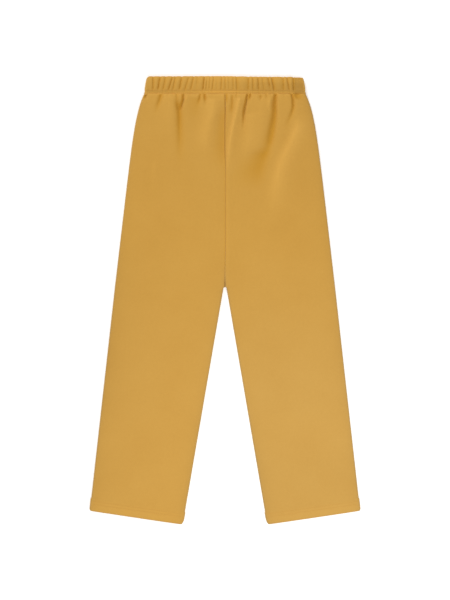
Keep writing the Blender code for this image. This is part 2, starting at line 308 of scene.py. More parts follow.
# The folds that fan out of the waistband, in mm: the x and depth of each point that a
# fold runs through, its half widths to the left and right at its start and end, and its
# height, where a trough is negative. A steep left side is in shade, because the light
# comes from the left. plainFold has what a fold doesn't state.
plainFold = {
    "head": 6.0,  # distance in which it starts
    "hold": 0.3,  # share of its run in which it keeps its height
    "edge": 1.8,  # small for a sharp crest, large for a flat one
}
frontFolds = {
    "edgeDip": {
        "run": ((-123.6, 28), (-125.2, 38)),
        "left": (2, 2), "right": (2.2, 2.5), "height": -3.6, "head": 2,
    },
    "sideDip": {
        "run": ((-99.4, 27), (-100.4, 34), (-103.6, 44), (-108.5, 64)),
        "left": (2.8, 4), "right": (3.0, 6), "height": -3.3, "head": 3, "hold": 0.05,
    },
    "sideLobe": {
        "run": ((-85, 30), (-86, 60), (-90, 110)),
        "left": (12, 15), "right": (8, 9), "height": 0.9,
    },
    "darkPleat": {
        "run": ((-65.0, 27), (-64.8, 34), (-67.0, 43), (-71, 55)),
        "left": (1.6, 2.6), "right": (1.3, 2.2), "height": -4.4, "head": 2.0, "hold": 0.8, "edge": 1.4,
    },
    "troughNick": {
        "run": ((-74.6, 27), (-74.8, 39)),
        "left": (2, 2.4), "right": (2, 2.4), "height": -1.9, "head": 2, "hold": 0.1,
    },
    "leftTrough": {
        "run": ((-74.4, 28), (-74, 42), (-71.4, 56), (-70.8, 72), (-70.4, 150)),
        "left": (3.0, 6.0), "right": (3.6, 8.0), "height": -4.0, "head": 20, "hold": 0.2, "edge": 1.5,
    },
    "leftSlope": {
        "run": ((-43, 32), (-44, 56), (-46, 76)),
        "left": (10, 12), "right": (6, 8), "height": -1.0,
    },
    "nick": {
        "run": ((-37.4, 27), (-39.6, 37), (-42, 50)),
        "left": (2, 3), "right": (1.8, 3), "height": -2.8, "head": 2, "hold": 0.2,
    },
    "smallDip": {
        "run": ((-31.8, 27), (-30.6, 37), (-30, 50)),
        "left": (1.8, 3), "right": (1.8, 4), "height": -4.1, "head": 2, "hold": 0.1,
    },
    "leftRidge": {
        "run": ((-19, 34), (-19, 54), (-25, 74), (-29, 130)),
        "left": (12, 14), "right": (9, 12), "height": 2.4, "hold": 0.5,
    },
    "seamValley": {
        "run": ((-3, 40), (-3, 70), (-2, 165)),
        "left": (7, 16), "right": (5, 4), "height": -1.5, "head": 26, "hold": 0.5,
    },
    "seamSide": {
        "run": ((3.4, 27), (3.6, 48)),
        "left": (3, 3), "right": (1.6, 2), "height": -2.2, "head": 2, "hold": 0.3,
    },
    "seamNick": {
        "run": ((11.4, 27), (12.0, 42), (10.8, 62)),
        "left": (1.6, 5), "right": (1.8, 1.8), "height": -2.1, "hold": 0.6,
    },
    "ridgeNick": {
        "run": ((17.8, 27), (17.6, 38)),
        "left": (1.6, 2), "right": (1.6, 2), "height": -1.4, "head": 2,
    },
    "seamRidge": {
        "run": ((22.6, 32), (20.3, 43), (17.8, 54), (14.2, 70), (10, 92), (6.5, 116), (5.5, 160)),
        "left": (2.3, 4), "right": (6, 9), "height": 3.2, "hold": 0.6,
    },
    "midTrough": {
        "run": ((35.4, 27), (32.2, 43), (30.0, 54), (29.4, 70), (27.8, 92)),
        "left": (1.4, 2.4), "right": (1.5, 2.8), "height": -4.2, "head": 2.5, "hold": 0.3, "edge": 1.9,
    },
    "midBranch": {
        "run": ((40.4, 27), (36.6, 42)),
        "left": (1.8, 2), "right": (1.8, 2.2), "height": -3.9, "head": 2,
    },
    "midLobe": {"run": ((58, 32), (57, 70), (44, 130)), "left": (16, 16), "right": (9, 12), "height": 1.0},
    "midRise": {
        "run": ((41, 56), (39, 80), (38, 104), (36, 148)),
        "left": (8, 9), "right": (14, 14), "height": 1.6,
    },
    "tick": {
        "run": ((56.4, 27), (55.8, 44)),
        "left": (1.8, 2.4), "right": (1.6, 2.6), "height": -2.7, "hold": 0.1,
    },
    "smallTick": {
        "run": ((65.2, 27), (65, 39)),
        "left": (1.5, 2), "right": (1.5, 2), "height": -1.7, "head": 2, "hold": 0.1,
    },
    "rightCrest": {
        "run": ((70, 32), (69.5, 56)),
        "left": (3, 4), "right": (3, 3), "height": 1.5, "head": 8,
    },
    "pleatRidge": {
        "run": ((-58.5, 29), (-61.5, 46)),
        "left": (2.5, 2.5), "right": (3, 4), "height": 0.9, "head": 4,
    },
    "rightTrough": {
        "run": ((79.8, 27), (78.2, 43), (78.2, 58), (76.3, 74), (60, 140)),
        "left": (2.5, 10.5), "right": (2.6, 6.0), "height": -4.6, "head": 2.5, "hold": 0.5, "edge": 1.8,
    },
    "darkPatch": {
        "run": ((65.2, 108), (56.8, 134), (47, 184)),
        "left": (14, 36), "right": (9, 12), "height": -2.6, "head": 16, "hold": 0.4,
    },
    "lastPleat": {
        "run": ((103.6, 27), (106.6, 42), (105.6, 54), (99.5, 72), (97, 90)),
        "left": (1.5, 4.4), "right": (2.0, 5), "height": -3.9, "head": 2.0, "hold": 0.06, "edge": 1.8,
    },
    "endDip": {
        "run": ((110.5, 27), (115, 40)),
        "left": (4, 6), "right": (9, 10), "height": -3.6, "head": 1.5,
    },
    "longRidge": {
        "run": ((117, 54), (110, 92), (98, 118), (88, 142), (83, 165), (78, 240)),
        "left": (5.0, 14), "right": (15, 20), "height": 3.7, "head": 38, "hold": 0.4,
    },
    "faintStreak": {
        "run": ((-108, 125), (-112, 192)),
        "left": (4, 4), "right": (8, 8), "height": 0.6, "head": 20,
    },
}
drape = {  # mm
    "puff": 1.6,  # how far a front rises between its edges
    "puffReach": 12.0,
    "seamStep": 0.40,  # the centre seam's allowance lies under the wearer's left front
    "seamReach": 4.5,
    "seamStepStart": (50.0, 90.0),
    "seamStepEnd": (-6.0, 20.0),  # from the crotch
    "seamPaintedShade": 1.8,  # painted shade: the seam is coloured brown in its depth
    "seamPaintedShadeReach": 1.1,
    "bulge": 2.0,  # the gathered cloth swells under the band
    "bulgeStart": 2.4,
    "bulgeReach": 42.0,
    "echo": 1.0,  # the band's creases run on into the panels
    "echoReach": 7.0,
    "pucker": 0.16,  # small dips along the seams
    "puckerStep": 6.3,
    "puckerDrift": (1.7, 41.0),  # the steps grow and shrink a little
    "puckerReach": 4.0,
    "tuck": 0.55,  # the top edge dips into the stitching
    "tuckReach": 0.9,
    "hemChannels": (16.3, 11.8),  # heights of the hem's two rows of stitching
    "hemChannel": 0.06,
    "hemChannelHalf": 0.9,
    "clearOfBack": 2.2,  # the front's inside never sinks lower than this
    "clearSoftness": 4.0,  # larger for a harder stop there
    "shadeShift": 1.3,  # a fold is darkest on the side that is turned from the light
    "backEcho": 0.5,
    "backTuck": 0.6,
    "backTuckReach": 1.8,
    "backDeepest": 1.2,
    "backChannel": 6.0,  # times as deep on the backs, so that the stitches clear the table
}
paintedLighting = {  # painted light and shade: how much darker the colour is painted, with reaches and depths in mm
    "side": 1.0,
    "sideReach": 8.0,
    "inner": (0.6, 1.7),  # along the inseams, at the knee and at the hem
    "innerReach": 9.0,
    "lowRange": (480.0, 570.0),
    "wide": (1.25, 0.75),  # and more widely at the outer edge of the wearer's right leg
    "wideReach": 38.0,
    "wideStart": (190.0, 330.0),
    "waist": (0.27, 0.9),  # at the hips, at the wearer's right and left
    "waistReach": 9.0,
    "waistEnd": (60.0, 110.0),
    "rim": 2.2,
    "rimReach": 1.6,
    "hemRim": 0.8,  # share of it at the fold of the hem
    "legEnds": (0.15, 0.8),  # the last of the legs, at the wearer's right and left
    "legEndStart": (540.0, 640.0),
    "topLight": 2.6,  # painted lighter right under the band
    "topReach": 1.3,
    "topGlow": 0.45,  # and less so below that
    "topGlowReach": 15.0,
    "hemLight": 0.7,
    "hemLightEnd": (13.0, 21.0),  # from the foot
    "lipLight": 0.9,  # beside the centre seam, on the wearer's left
    "lipPlace": 2.2,
    "lipHalf": 2.4,
    "lipStart": (120.0, 185.0),
    "paintedSheen": (0.12, 0.34),  # painted sheen: the legs are paler, at the wearer's right and left
    "sheenSides": (-60.0, 60.0),
    "sheenStart": (210.0, 520.0),
    "rimSheen": 0.60,  # and a painted reflection: the nap along the edges takes on the white round it
    "rimSheenReach": 1.8,
}
swellColumns = ("height", "slant", "wave", "phase", "downWave", "downPhase")
swellRows = (  # mm and radians; the cloth never lies quite flat
    (0.14, 0.00, 29.0, 0.9, 61.0, 0.5),
    (0.11, 0.45, 37.0, 2.1, math.inf, math.pi / 2),
    (0.08, -0.62, 23.0, 0.3, 97.0, 1.4),
)
swells = [dict(zip(swellColumns, row)) for row in swellRows]


def smoothPath(xs, depths, depth):  # a smooth line through the points of a fold's run
    slopes = np.gradient(xs, depths)
    place = np.clip(np.searchsorted(depths, depth) - 1, 0, len(depths) - 2)
    span = depths[place + 1] - depths[place]
    share = np.clip((depth - depths[place]) / span, 0.0, 1.0)
    start = xs[place] + slopes[place] * span * share
    end = xs[place + 1] - slopes[place + 1] * span * (1 - share)
    return mix(start, end, share * share * (3 - 2 * share))


def foldHeight(stated, x, depth):
    fold = {**plainFold, **stated}
    xs, depths = (np.array(values, float) for values in zip(*fold["run"]))
    along = np.clip((depth - depths[0]) / (depths[-1] - depths[0]), 0.0, 1.0)
    away = x - smoothPath(xs, depths, depth)
    left = mix(*fold["left"], along)
    right = mix(*fold["right"], along)
    reach = np.where(away < 0, -away / left, away / right)
    head = ease(0.0, fold["head"], depth - depths[0])
    tail = 1 - ease(fold["hold"], 1.0, along)
    return fold["height"] * head * tail * np.exp(-(reach ** fold["edge"]))


def allFolds(folds, x, depth):
    return sum(foldHeight(fold, x, depth) for fold in folds.values())


def swellHeight(x, depth):
    return sum(
        swell["height"]
        * np.sin((x + swell["slant"] * depth) / swell["wave"] + swell["phase"])
        * np.sin(depth / swell["downWave"] + swell["downPhase"])
        for swell in swells
    )


def hemRelief(rowDepth):  # the stitched channels of the turned-up hem
    height = pants["length"] - rowDepth
    rows = [hump(height, row, drape["hemChannelHalf"]) for row in drape["hemChannels"]]
    return -drape["hemChannel"] * sum(rows)


def underBand(depth):  # depth below the foot of the waistband
    return np.maximum(0.0, depth - pants["bandDepth"])


def seamRelief(x, depth, fromInner):
    joined = 1 - fromCrotch(drape["seamStepEnd"], depth)
    lip = drape["seamStep"] * ease(*drape["seamStepStart"], depth) * np.exp(-fromInner / drape["seamReach"])
    return rightLeft((0.0, 1.0), x) * lip * joined


def puckers(depth, fromInner, fromSide):
    amount, wave = drape["puckerDrift"]
    beat = 0.5 + 0.5 * np.sin(2 * np.pi * depth / drape["puckerStep"] + amount * np.sin(depth / wave))
    edges = np.exp(-fromInner / drape["puckerReach"]) + np.exp(-fromSide / drape["puckerReach"])
    return -drape["pucker"] * beat * edges


def frontRelief(x, depth, rowDepth, fromInner, fromSide):  # the relief, and the painted shade and highlight of the folds
    apart = legsApart(depth)
    innerRise = 1 - apart * np.exp(-fromInner / drape["puffReach"])
    sideRise = 1 - np.exp(-fromSide / drape["puffReach"])
    below = underBand(depth)
    leaving = 1 - np.exp(-below / drape["bulgeStart"])
    bulge = drape["bulge"] * np.exp(-below / drape["bulgeReach"])
    rises = leaving * sideRise * (drape["puff"] * innerRise + bulge)
    echo = -drape["echo"] * bandGroove(x, np.ones_like(x)) * np.exp(-below / drape["echoReach"])
    tuck = -drape["tuck"] * np.exp(-((below / drape["tuckReach"]) ** 2))
    low = echo + puckers(depth, fromInner, fromSide) + seamRelief(x, depth, fromInner) + hemRelief(rowDepth)
    relief = rises + allFolds(frontFolds, x, depth) + low + tuck + swellHeight(x, depth)
    seamPaintedShade = drape["seamPaintedShade"] * (1 - apart) * np.exp(-fromInner / drape["seamPaintedShadeReach"])
    return relief, allFolds(frontFolds, x + drape["shadeShift"], depth) + low - seamPaintedShade


def frontPaintedShading(x, depth, rowDepth, fromInner, fromSide):  # painted light and shade: above 0 where the colour is painted lighter
    apart = legsApart(depth)
    toFoot = pants["length"] - rowDepth
    low = ease(*paintedLighting["lowRange"], depth)
    side = paintedLighting["side"] * np.exp(-fromSide / paintedLighting["sideReach"])
    inner = apart * mix(*paintedLighting["inner"], low) * np.exp(-fromInner / paintedLighting["innerReach"])
    wide = rightLeft((1.0, 0.0), x) * ease(*paintedLighting["wideStart"], depth)
    wide = wide * mix(*paintedLighting["wide"], low) * np.exp(-fromSide / paintedLighting["wideReach"])
    waist = rightLeft(paintedLighting["waist"], x) * np.exp(-fromSide / paintedLighting["waistReach"])
    waist = waist * (1 - ease(*paintedLighting["waistEnd"], depth))
    legEnds = rightLeft(paintedLighting["legEnds"], x) * ease(*paintedLighting["legEndStart"], depth)
    rims = np.exp(-fromSide / paintedLighting["rimReach"]) + apart * np.exp(-fromInner / paintedLighting["rimReach"])
    rims = rims + paintedLighting["hemRim"] * np.exp(-toFoot / paintedLighting["rimReach"])
    darker = side + inner + wide + waist + legEnds + paintedLighting["rim"] * rims

    below = underBand(depth)
    top = np.exp(-below / paintedLighting["topReach"]) + paintedLighting["topGlow"] * np.exp(-below / paintedLighting["topGlowReach"])
    hem = 1 - ease(*paintedLighting["hemLightEnd"], toFoot)
    lip = rightLeft((0.0, 1.0), x) * (1 - apart) * hump(fromInner, paintedLighting["lipPlace"], paintedLighting["lipHalf"])
    lip = lip * ease(*paintedLighting["lipStart"], depth)
    return paintedLighting["lipLight"] * lip + paintedLighting["topLight"] * top + paintedLighting["hemLight"] * hem - darker


def paintedSheenShare(x, depth, fromInner, fromSide):  # how pale the painted sheen and reflection leave the colour, 0 to 1
    legs = mix(*paintedLighting["paintedSheen"], ease(*paintedLighting["sheenSides"], x)) * ease(*paintedLighting["sheenStart"], depth)
    side, inner = (np.exp(-away / paintedLighting["rimSheenReach"]) for away in (fromSide, fromInner))
    return legs + paintedLighting["rimSheen"] * (side + legsApart(depth) * inner)


# The folds of the side that lies on the table only press into it, as grooves.
backFolds = {
    "outerLeft": {
        "run": ((-98, 27), (-101, 60), (-104, 90)),
        "left": (1.6, 5), "right": (1.6, 5), "height": -0.9,
    },
    "left": {
        "run": ((-70, 27), (-72, 60), (-68, 120)),
        "left": (1.8, 7), "right": (1.8, 7), "height": -1.1,
    },
    "innerLeft": {
        "run": ((-37, 27), (-36, 60), (-30, 84)),
        "left": (1.6, 5), "right": (1.6, 5), "height": -0.9,
    },
    "innerRight": {
        "run": ((28, 27), (30, 60), (27, 98)),
        "left": (1.6, 6), "right": (1.6, 6), "height": -1.0,
    },
    "right": {"run": ((66, 27), (68, 60), (74, 130)), "left": (1.8, 7), "right": (1.8, 7), "height": -1.1},
    "outerRight": {
        "run": ((95, 27), (97, 50), (103, 80)),
        "left": (1.6, 5), "right": (1.6, 5), "height": -0.9,
    },
}


def backRelief(x, depth, rowDepth, fromInner, fromSide):
    below = underBand(depth)
    echo = -drape["backEcho"] * bandGroove(-x, np.ones_like(x)) * np.exp(-below / drape["echoReach"])
    tuck = -drape["backTuck"] * np.exp(-((below / drape["backTuckReach"]) ** 2))
    low = np.clip(allFolds(backFolds, x, depth) + echo + tuck, -drape["backDeepest"], 0.0)
    low = low + drape["backChannel"] * hemRelief(rowDepth)
    # painted shade: the grooves are coloured darker by as much as they sink
    return low, low


# painted shade along the backs' side edges
def backPaintedShading(x, depth, rowDepth, fromInner, fromSide):
    return -paintedLighting["side"] * np.exp(-fromSide / paintedLighting["sideReach"])


def gridFaces(rows, columns, start=0):
    index = start + np.arange(rows * columns).reshape(rows, columns)
    corners = (index[:-1, :-1], index[:-1, 1:], index[1:, 1:], index[1:, :-1])
    return np.stack(corners, axis=-1).reshape(-1, 4)


def rimOf(rows, columns, start=0):  # once round the edge of a grid
    index = start + np.arange(rows * columns).reshape(rows, columns)
    return np.concatenate([index[0], index[1:, -1], index[-1, -2::-1], index[-2:0:-1, 0]])


def makeMesh(name, points, faces, uv, shades, material):  # points and uv in mm
    mesh = bpy.data.meshes.new(name)
    mesh.from_pydata((points * mm).tolist(), [], faces.tolist())
    corners = np.empty(len(mesh.loops), dtype=np.int32)
    mesh.loops.foreach_get("vertex_index", corners)
    layer = mesh.uv_layers.new(name="cloth")
    layer.data.foreach_set("uv", (uv[corners] * mm).astype(np.float32).ravel())
    for shade, values in shades.items():
        attribute = mesh.attributes.new(shade, "FLOAT", "POINT")
        attribute.data.foreach_set("value", values.astype(np.float32))
    shell = bmesh.new()
    shell.from_mesh(mesh)
    bmesh.ops.recalc_face_normals(shell, faces=shell.faces)
    shell.to_mesh(mesh)
    shell.free()
    mesh.shade_smooth()
    mesh.materials.append(material)
    piece = bpy.data.objects.new(name, mesh)
    bpy.context.scene.collection.objects.link(piece)
    return piece


panel = {  # mesh spacing in mm, and counts
    "gatherStep": 0.8,
    "gatherEnd": 62.0,
    "foldStep": 1.4,
    "foldEnd": 132.0,
    "bodyStep": 3.2,
    "legStep": 4.0,
    "fineStep": 1.0,  # above and below the crotch
    "fineAbove": 12.0,
    "fineBelow": 10.0,
    "archStep": 0.3,  # on the rounded top of the gap between the legs
    "archDepth": 3.0,
    "hemStep": 0.7,
    "aboveHem": 6.0,
    "backCoarser": 1.7,
    "frontColumns": 132,
    "backColumns": 74,
    "rollFaces": 9,
    "seamAngle": 30,  # degrees of the roll in which two panels draw apart to the seam's gap
    "insideShade": 2.6,  # painted shade: the inside is coloured as dark as a deep fold
    "hemTurn": (0, 20, 40, 60, 78),  # degrees round the fold at the hem
}


def panelRows(coarser):  # the rows' depths at the inner edge, and how far the hem's fold draws in
    top = pants["bandDepth"] + pants["seamGap"]
    hemTop = pants["length"] - pants["hemDepth"]
    lip = pants["hemPlies"] / 2
    places = (
        (top, "gatherStep"),
        (panel["gatherEnd"], "foldStep"),
        (panel["foldEnd"], "bodyStep"),
        (pants["rise"] - panel["fineAbove"], "fineStep"),
        (pants["rise"], "archStep"),
        (pants["rise"] + panel["archDepth"], "fineStep"),
        (pants["rise"] + panel["fineBelow"], "legStep"),
        (hemTop - panel["aboveHem"], "hemStep"),
        (pants["length"] - lip, None),
    )
    rows = [
        np.linspace(start, end, max(2, round((end - start) / (panel[step] * coarser))), endpoint=False)
        for (start, step), (end, _) in zip(places, places[1:])
    ]
    turns = np.radians(panel["hemTurn"])
    rows.append(pants["length"] - lip + lip * np.sin(turns))
    insets = np.concatenate([np.zeros(sum(len(row) for row in rows[:-1])), lip * (1 - np.cos(turns))])
    return np.concatenate(rows), insets


def acrossPanel(rowDepth, width, columns):  # distances from the inner edge, and angles round the rolls
    radius, turn, flat = rollRadius(rowDepth), centreTurn(rowDepth), math.pi / 2
    steps = np.arange(panel["rollFaces"])[None, :] / panel["rollFaces"]
    innerAngle = mix(turn, flat, steps)
    sideAngle = mix(flat, 0.0, steps + 1 / panel["rollFaces"]) + 0 * rowDepth
    faceStart, faceEnd = radius * np.cos(turn), width - radius
    face = mix(faceStart, faceEnd, np.linspace(0, 1, columns)[None, :])
    inner, side = faceStart - radius * np.cos(innerAngle), faceEnd + radius * np.cos(sideAngle)
    angle = np.concatenate([innerAngle, np.full_like(face, flat), sideAngle], axis=1)
    return np.concatenate([inner, face, side], axis=1), angle


def panelGrid(side, front):  # a panel's outside and inside points, its cloth's map and its shades
    columns = panel["frontColumns"] if front else panel["backColumns"]
    rows, inset = panelRows(1.0 if front else panel["backCoarser"])
    rowDepth, inset = rows[:, None], inset[:, None]
    endDepth = sideDepth(rowDepth)
    startX = innerX(rowDepth) + cornerInset(pants["length"] - rowDepth, pants["innerCorner"])
    endX = sideX(endDepth) - cornerInset(pants["hemOuterDepth"] - endDepth, pants["outerCorner"])
    if side < 0 and front:
        endX = endX + pants["fullHip"] * hump(endDepth, *pants["fullHipPlace"])
    width = np.hypot(endX - startX, endDepth - rowDepth)
    wander = seamWander(rowDepth)
    radius, wall = rollRadius(rowDepth), wallThickness(rowDepth)
    distance, angle = acrossPanel(rowDepth, width, columns)
    x = side * mix(startX, endX, distance / width)
    depth = mix(rowDepth, endDepth, distance / width)
    spot = (x, depth, rowDepth, distance, width - distance)
    relief, paintedFoldShade = frontRelief(*spot) if front else backRelief(*spot)
    if front:
        lowest, softness = drape["clearOfBack"] + wall - 2 * radius, drape["clearSoftness"]
        relief = lowest + np.logaddexp(0.0, (relief - lowest) * softness) / softness
    crown = radius + relief - inset
    seam = pants["seamGap"] / 2 * np.clip(1 - angle / math.radians(panel["seamAngle"]), 0, 1)
    outside = crown * np.sin(angle) + seam
    inside = (crown - wall + 2 * inset) * np.sin(angle) + seam
    inward = np.where(distance < width / 2, 1.0, -1.0)
    insideDistance = distance + inward * wall * np.cos(angle)
    up = 1 if front else -1

    def place(across, height):
        share = across / width
        y = pants["length"] / 2 - mix(rowDepth, endDepth, share)
        across = side * mix(startX, endX, share) + wander * np.exp(-across / pants["wanderReach"])
        return np.stack([across, y, radius + up * height], axis=-1)

    clothMap = np.stack([distance + 0 * rowDepth, pants["length"] - rowDepth + 0 * distance], axis=-1)
    # painted shade and highlight of the folds, painted light and shade, and painted sheen
    shades = {
        "paintedFoldShade": paintedFoldShade,
        "paintedShading": frontPaintedShading(*spot) if front else backPaintedShading(*spot),
        "paintedSheen": paintedSheenShare(x, depth, distance, width - distance),
    }
    return place(distance, outside), place(insideDistance, inside), clothMap, shades


def makePanel(name, side, front, material):
    outside, inside, clothMap, shades = panelGrid(side, front)
    rows, columns = outside.shape[:2]
    count = rows * columns
    outerRim, innerRim = rimOf(rows, columns), rimOf(rows, columns, count)
    rim = np.stack([outerRim, np.roll(outerRim, -1), np.roll(innerRim, -1), innerRim], axis=-1)
    faces = np.concatenate([gridFaces(rows, columns), gridFaces(rows, columns, count), rim])
    points = np.concatenate([outside.reshape(-1, 3), inside.reshape(-1, 3)])
    doubled = {shade: np.concatenate([values.ravel()] * 2) for shade, values in shades.items()}
    # painted shade all over the inside
    doubled["paintedFoldShade"][count:] = -panel["insideShade"]
    return makeMesh(name, points, faces, np.concatenate([clothMap.reshape(-1, 2)] * 2), doubled, material)


def bandHalf(depth):
    return mix(pants["bandTopHalf"], pants["bandFootHalf"], depth / pants["bandDepth"])


def bandTop(x):  # depth of the top edge: a slight bow and two rounded corners
    corner = band["corner"]
    bow = rightLeft(band["topBow"], x) * (x / pants["bandTopHalf"]) ** 2
    bow = bow + band["topSlope"] * ease(*band["slopeRange"], x)
    past = np.maximum(0.0, np.abs(x) - (pants["bandTopHalf"] - corner)) / corner
    return bow + (corner - bow) * (1 - np.sqrt(np.maximum(0.0, 1 - past * past)))


def bandSection():  # down the inside, over the top fold and down the outside, as rows of
    # depth, distance out from the wall's middle, and shares of the crease inwards and down
    half, foot = band["wall"] / 2, pants["bandDepth"]
    rows = [(foot - above, sunk - half, 0, 0) for above, sunk in band["insideTurn"]]
    rows.append((half, -half, 0, 0))
    for turn in np.radians(band["topTurns"]):
        inward = band["topCrease"] * ease(*band["topCreaseTurns"], turn)
        down = band["topNotch"] * math.cos(turn) ** 2
        rows.append((half * (1 - math.cos(turn)), half * math.sin(turn), inward, down))
    for depth in np.linspace(half, foot - band["faceEnd"], band["faceRows"]):
        sewn = [hump(depth, row, band["channelHalf"]) for row in band["rows"]]
        channels = sum(deep * share for deep, share in zip(band["channels"], sewn))
        pressed = max(hump(depth, row, band["pressedHalf"]) for row in band["rows"])
        inward = mix(band["topCrease"], 1.0, ease(half, band["topReach"], depth))
        inward *= 1 - band["pressed"] * pressed
        inward *= mix(1.0, band["pastStitching"], ease(*band["pastRange"], depth))
        full = band["footFull"] * ease(band["fullStart"], foot, depth)
        thin = band["footThin"] * (ease(*band["thinRange"], depth) - full)
        rows.append((depth, half - channels - thin, inward, 0))
    thin = band["footThin"] * (1 - band["footFull"])
    for above, sunk in band["footTurn"]:
        rows.append((foot - above, half - thin - sunk, band["footCrease"], 0))
    return np.array(rows).T


def markPaintedShading(mark, x, depth):  # one row of the band's painted light and shade
    amount = mark.get("all", 0.0) + 0 * x
    if "round" in mark:
        amount = amount + mark["more"] * hump(x, *mark["round"])
    if "toward" in mark:
        amount = amount + mark["more"] * ease(*mark["toward"], x)
    if "starts" in mark:
        amount = amount * ease(*mark["starts"], depth)
    if "ends" in mark:
        amount = amount * (1 - ease(*mark["ends"], depth))
    if "line" in mark:
        amount = amount * hump(depth, *mark["line"])
    return amount


def bandPoints(stations):  # one row of points round, one column a section
    end, across, angle, relief, isFront = (values[:, None] for values in stations)
    depth, out, inward, down = (column[None, :] for column in bandSection())
    radius = band["wall"] + band["slit"] / 2
    half = bandHalf(depth)
    faceX = across * (half - radius)
    share = np.minimum(depth / band["rows"][0], 1.0) + 0 * faceX
    pleatDepth = pants["bandDepth"] + band["pleatPlace"]
    pleats = np.maximum(0.0, -allFolds(frontFolds, faceX, np.full_like(faceX, pleatDepth)))
    pleatStart = band["rows"][0] + band["pleatPlace"]
    pleats = band["footPleats"] * pleats * ease(pleatStart, pants["bandDepth"], depth)
    pleats = np.where(isFront & (out > 0), pleats, 0.0)
    creased = relief * bandGroove(faceX, share)
    drop = band["endDrop"] * ease(*band["endRun"], faceX) - band["crestRise"]
    groove = creased + np.where(isFront, drop, 0.0)
    ring = radius - band["wall"] / 2 + out - groove * inward - pleats
    x = np.where(end == 0, faceX, end * (half - radius + ring * np.cos(angle)))
    top = mix(bandTop(x), pants["bandDepth"], depth / pants["bandDepth"])
    y = pants["length"] / 2 - top - groove * down
    z = radius + ring * np.sin(angle)
    rim = np.exp(-np.maximum(0.0, half - np.abs(x)) / paintedLighting["rimSheenReach"])
    paintedShade = sum(markPaintedShading(mark, faceX, depth) for mark in bandPaintedShading.values()) - band["rimShade"] * rim
    # painted light and shade on the band: darker in its gathers and pleats and at its ends, with a painted
    # reflection of the white at its ends
    shades = {
        "paintedFoldShade": -(creased * inward * band["gatherShade"] + pleats),
        "paintedShading": np.where(isFront, paintedShade, 0.0),
        "paintedSheen": paintedLighting["rimSheen"] * rim,
    }
    return np.stack([x, y, z + 0 * x], axis=-1), {shade: values.ravel() for shade, values in shades.items()}


def bandStations():  # once round: the front, the right end, the back and the left end
    width = 2 * (pants["bandFootHalf"] - band["wall"])
    front = np.linspace(-1, 1, round(width / band["frontStep"]))
    back = np.linspace(1, -1, round(width / band["backStep"]))
    steepest, count = band["endTurns"]
    turns = np.radians(np.linspace(steepest, -steepest, count))
    flat = math.pi / 2
    lengths = (len(front), count, len(back), count)
    end = np.repeat((0.0, 1.0, 0.0, -1.0), lengths)
    across = np.concatenate([front, np.ones(count), back, -np.ones(count)])
    angle = np.concatenate([np.full(len(front), flat), turns, np.full(len(back), -flat), turns[::-1]])
    relief = np.repeat((band["relief"], 0.0, band["underRelief"], 0.0), lengths)
    return end, across, angle, relief, np.repeat((True, False, False, False), lengths)


def makeWaistband(name, material):
    points, shades = bandPoints(bandStations())
    rows, columns = points.shape[:2]
    index = np.arange(rows * columns).reshape(rows, columns)
    following = np.roll(index, -1, axis=0)
    corners = (index, np.roll(index, -1, axis=1), np.roll(following, -1, axis=1), following)
    faces = np.stack(corners, axis=-1).reshape(-1, 4)
    middle = points[:, band["mapColumn"]]
    along = np.cumsum(np.linalg.norm(np.diff(middle, axis=0, prepend=middle[-1:]), axis=-1))
    down = pants["length"] - bandSection()[0]
    clothMap = np.stack(np.broadcast_arrays(along[:, None], down[None, :]), axis=-1)
    return makeMesh(name, points.reshape(-1, 3), faces, clothMap.reshape(-1, 2), shades, material)


stitching = {  # mm
    "pitch": 3.1,
    "length": 2.7,
    "thick": 0.38,
    "sides": 6,
    "sink": 0.16,  # how far a stitch's ends go into the cloth
    "rise": 0.06,
    "ends": ((0.30, 0.92, 0.25), (0.45, 0.55, 0.75)),  # from a share on: thickness, share of the sink
    "cuts": (-0.34, -0.17, 0.17, 0.34),  # shares of the length where it is divided to bend
    "grip": 0.4,  # share of its length each way at which a stitch sits on the cloth
    "endGap": 5.0,  # from the rows' ends to the edges
    "reach": 40.0,  # height from which the cloth is felt for
    "bandPoints": 120,  # along a row
    "hemPoints": 40,
}


def makeStitch(material):  # one stitch along x, thinner at both ends and bent down into the cloth
    length, radius = stitching["length"] * mm, stitching["thick"] * mm / 2
    bpy.ops.object.select_all(action="DESELECT")
    bpy.ops.mesh.primitive_cylinder_add(
        vertices=stitching["sides"],
        radius=radius,
        depth=length,
        location=(0, 0, 0),
        rotation=(0, math.pi / 2, 0),
    )
    stitch = bpy.context.object
    stitch.name = "stitch"
    bpy.ops.object.transform_apply(location=True, rotation=True, scale=True)
    bpy.ops.object.mode_set(mode="EDIT")
    for share in stitching["cuts"]:
        bpy.ops.mesh.select_all(action="SELECT")
        bpy.ops.mesh.bisect(plane_co=(share * length, 0, 0), plane_no=(1, 0, 0))
    bpy.ops.mesh.select_all(action="DESELECT")
    for beyond, scale, drop in stitching["ends"]:
        for way in (-1, 1):
            shape = bmesh.from_edit_mesh(stitch.data)
            for vertex in shape.verts:
                vertex.select = way * vertex.co.x > beyond * length
            shape.select_flush(True)
            bmesh.update_edit_mesh(stitch.data)
            bpy.ops.transform.resize(value=(1, scale, scale))
            bpy.ops.transform.translate(value=(0, 0, -drop * stitching["sink"] * mm))
    bpy.ops.object.mode_set(mode="OBJECT")
    bpy.ops.object.shade_smooth()
    stitch.data.materials.append(material)
    return stitch


def onCloth(cloth, x, y, fromAbove):  # where a point of a row lies on the cloth
    way = 1 if fromAbove else -1
    start = (x * mm, y * mm, way * stitching["reach"] * mm)
    hit, place, normal, index = cloth.ray_cast(start, (0, 0, -way))
    return (np.array(place), np.array(normal)) if hit else None


